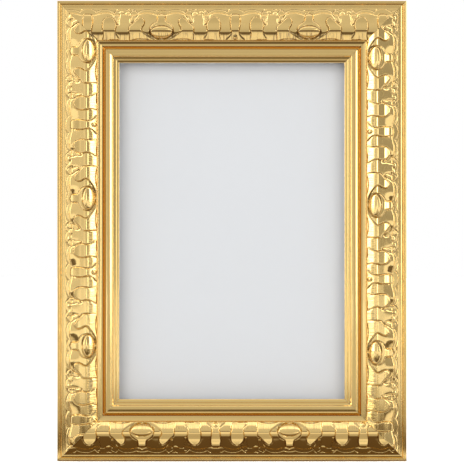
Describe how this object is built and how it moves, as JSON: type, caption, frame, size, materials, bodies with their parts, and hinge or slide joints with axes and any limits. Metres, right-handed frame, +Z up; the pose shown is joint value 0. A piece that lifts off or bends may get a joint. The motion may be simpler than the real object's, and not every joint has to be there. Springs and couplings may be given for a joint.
{
  "type": "picture frame",
  "caption": "Small upright picture frame with mitred gilt mouldings, an embossed leaf ornament, glass, and a backing board with an easel strut, turn buttons and hangers.",
  "frame": {"origin": "on the ground plane, under the middle of the whole frame with its back fittings", "axes": "+Z up along the frame's height, +X along its width, the picture faces -Y"},
  "size_m": [0.1258, 0.0222, 0.1658],
  "materials": {
    "gilt_moulding": "smooth gold foil over a wooden core",
    "gilt_ornament": "gold foil over embossed composition",
    "nail_steel": "plain",
    "glass": "clear float glass",
    "picture_paper": "plain pale grey paper",
    "black_board": "black faced fibreboard",
    "black_strut": "black faced fibreboard",
    "hinge_steel": "nickel plated sheet",
    "rivet_steel": "nickel plated",
    "button_brass": "brass plated stamping",
    "hanger_brass": "brass plated",
    "screw_brass": "brass plated"
  },
  "bodies": {
    "frame": {"rail_top": "gilt_moulding", "rail_bottom": "gilt_moulding", "rail_left": "gilt_moulding", "rail_right": "gilt_moulding", "ornament_top": "gilt_ornament", "ornament_bottom": "gilt_ornament", "ornament_left": "gilt_ornament", "ornament_right": "gilt_ornament", "corner_nails": "nail_steel", "glass_pane": "glass", "picture_sheet": "picture_paper", "backing_board": "black_board", "hinge_board_leaf": "hinge_steel", "hinge_pin": "hinge_steel", "board_rivets": "rivet_steel", "turn_button_screws": "screw_brass", "hanger_strap_top": "hanger_brass", "hanger_strap_side": "hanger_brass", "hanger_screws": "screw_brass"},
    "strut": {"strut_leg": "black_strut", "hinge_leg_leaf": "hinge_steel", "leg_rivets": "rivet_steel"},
    "button_left_low": {"turn_button_left_low": "button_brass"},
    "button_left_high": {"turn_button_left_high": "button_brass"},
    "button_right_low": {"turn_button_right_low": "button_brass"},
    "button_right_high": {"turn_button_right_high": "button_brass"},
    "ring_top": {"hanger_ring_top": "hanger_brass"},
    "ring_side": {"hanger_ring_side": "hanger_brass"}
  },
  "joints": [
    {"name": "strut_hinge", "type": "hinge", "parent": "frame", "child": "strut", "pos_m": [0, 0.00855, 0.105], "axis": [1, 0, 0], "range_deg": [0, 30]},
    {"name": "button_left_low_turn", "type": "hinge", "parent": "frame", "child": "button_left_low", "pos_m": [-0.051, 0.00685, 0.04311], "axis": [0, 1, 0], "continuous": true},
    {"name": "button_left_high_turn", "type": "hinge", "parent": "frame", "child": "button_left_high", "pos_m": [-0.051, 0.00685, 0.12269], "axis": [0, 1, 0], "continuous": true},
    {"name": "button_right_low_turn", "type": "hinge", "parent": "frame", "child": "button_right_low", "pos_m": [0.051, 0.00685, 0.04311], "axis": [0, 1, 0], "continuous": true},
    {"name": "button_right_high_turn", "type": "hinge", "parent": "frame", "child": "button_right_high", "pos_m": [0.051, 0.00685, 0.12269], "axis": [0, 1, 0], "continuous": true},
    {"name": "ring_top_hinge", "type": "hinge", "parent": "frame", "child": "ring_top", "pos_m": [0, 0.0083, 0.1506], "axis": [1, 0, 0], "range_deg": [0, 180]},
    {"name": "ring_side_hinge", "type": "hinge", "parent": "frame", "child": "ring_side", "pos_m": [0.0477, 0.0083, 0.0829], "axis": [0, 0, -1], "range_deg": [0, 180]}
  ]
}
